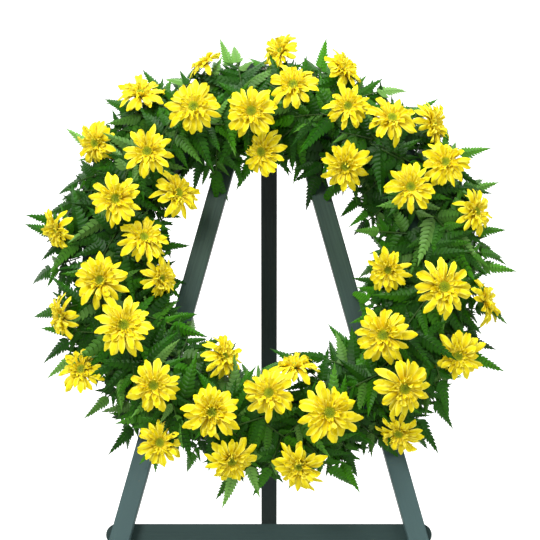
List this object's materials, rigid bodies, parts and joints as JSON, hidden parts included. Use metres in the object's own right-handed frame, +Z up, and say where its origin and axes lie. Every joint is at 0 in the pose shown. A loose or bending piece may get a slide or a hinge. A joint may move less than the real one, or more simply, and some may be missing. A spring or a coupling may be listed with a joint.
{
  "type": "funeral wreath on an easel",
  "caption": "Round standing wreath of yellow daisies and leatherleaf fern in a foam ring, wired to a folding three-legged wooden easel.",
  "frame": {"origin": "on the floor, at the centre of the bounding box's footprint, under the middle of the easel", "axes": "+Z up; the flowers face -Y; +X to the viewer's right"},
  "size_m": [0.6184, 0.4111, 0.8962],
  "materials": {
    "green_wood": "matte",
    "zinc_steel": "satin",
    "florist_wire": "gloss",
    "tray_plastic": "satin",
    "floral_foam": "matte",
    "daisy_petals": "matte",
    "fern_leaf": "satin"
  },
  "bodies": {
    "root": {"front_leg_left": "green_wood", "front_leg_right": "green_wood", "header_block": "green_wood", "cross_brace": "green_wood", "brace_screw_left": "zinc_steel", "brace_screw_right": "zinc_steel", "header_nail_left": "zinc_steel", "header_nail_right": "zinc_steel", "hinge_fixed_leaf": "zinc_steel", "hinge_pin": "zinc_steel", "tie_wire_upper_left": "florist_wire", "tie_wire_upper_right": "florist_wire", "tie_wire_lower_left": "florist_wire", "tie_wire_lower_right": "florist_wire", "ring_tray": "tray_plastic", "foam_ring": "floral_foam", "daisy_spray_01": "daisy_petals", "daisy_spray_02": "daisy_petals", "daisy_spray_03": "daisy_petals", "daisy_spray_04": "daisy_petals", "daisy_spray_05": "daisy_petals", "daisy_spray_06": "daisy_petals", "daisy_spray_07": "daisy_petals", "daisy_spray_08": "daisy_petals", "daisy_spray_09": "daisy_petals", "daisy_spray_10": "daisy_petals", "daisy_spray_11": "daisy_petals", "daisy_spray_12": "daisy_petals", "daisy_spray_13": "daisy_petals", "daisy_spray_14": "daisy_petals", "daisy_spray_15": "daisy_petals", "daisy_spray_16": "daisy_petals", "daisy_spray_17": "daisy_petals", "daisy_spray_18": "daisy_petals", "daisy_spray_19": "daisy_petals", "daisy_spray_20": "daisy_petals", "fern_outer_01": "fern_leaf", "fern_outer_02": "fern_leaf", "fern_outer_03": "fern_leaf", "fern_outer_04": "fern_leaf", "fern_outer_05": "fern_leaf", "fern_outer_06": "fern_leaf", "fern_outer_07": "fern_leaf", "fern_outer_08": "fern_leaf", "fern_outer_09": "fern_leaf", "fern_outer_10": "fern_leaf", "fern_outer_11": "fern_leaf", "fern_outer_12": "fern_leaf", "fern_outer_13": "fern_leaf", "fern_outer_14": "fern_leaf", "fern_inner_01": "fern_leaf", "fern_inner_02": "fern_leaf", "fern_inner_03": "fern_leaf", "fern_inner_04": "fern_leaf", "fern_inner_05": "fern_leaf", "fern_inner_06": "fern_leaf", "fern_inner_07": "fern_leaf", "fern_inner_08": "fern_leaf"},
    "rear_leg": {"rear_leg": "green_wood", "hinge_moving_leaf": "zinc_steel"}
  },
  "joints": [
    {"name": "rear_leg_fold", "type": "hinge", "parent": "root", "child": "rear_leg", "pos_m": [0, -0.01114, 0.84534], "axis": [-1, 0, 0], "range_deg": [0, 22.8]}
  ]
}
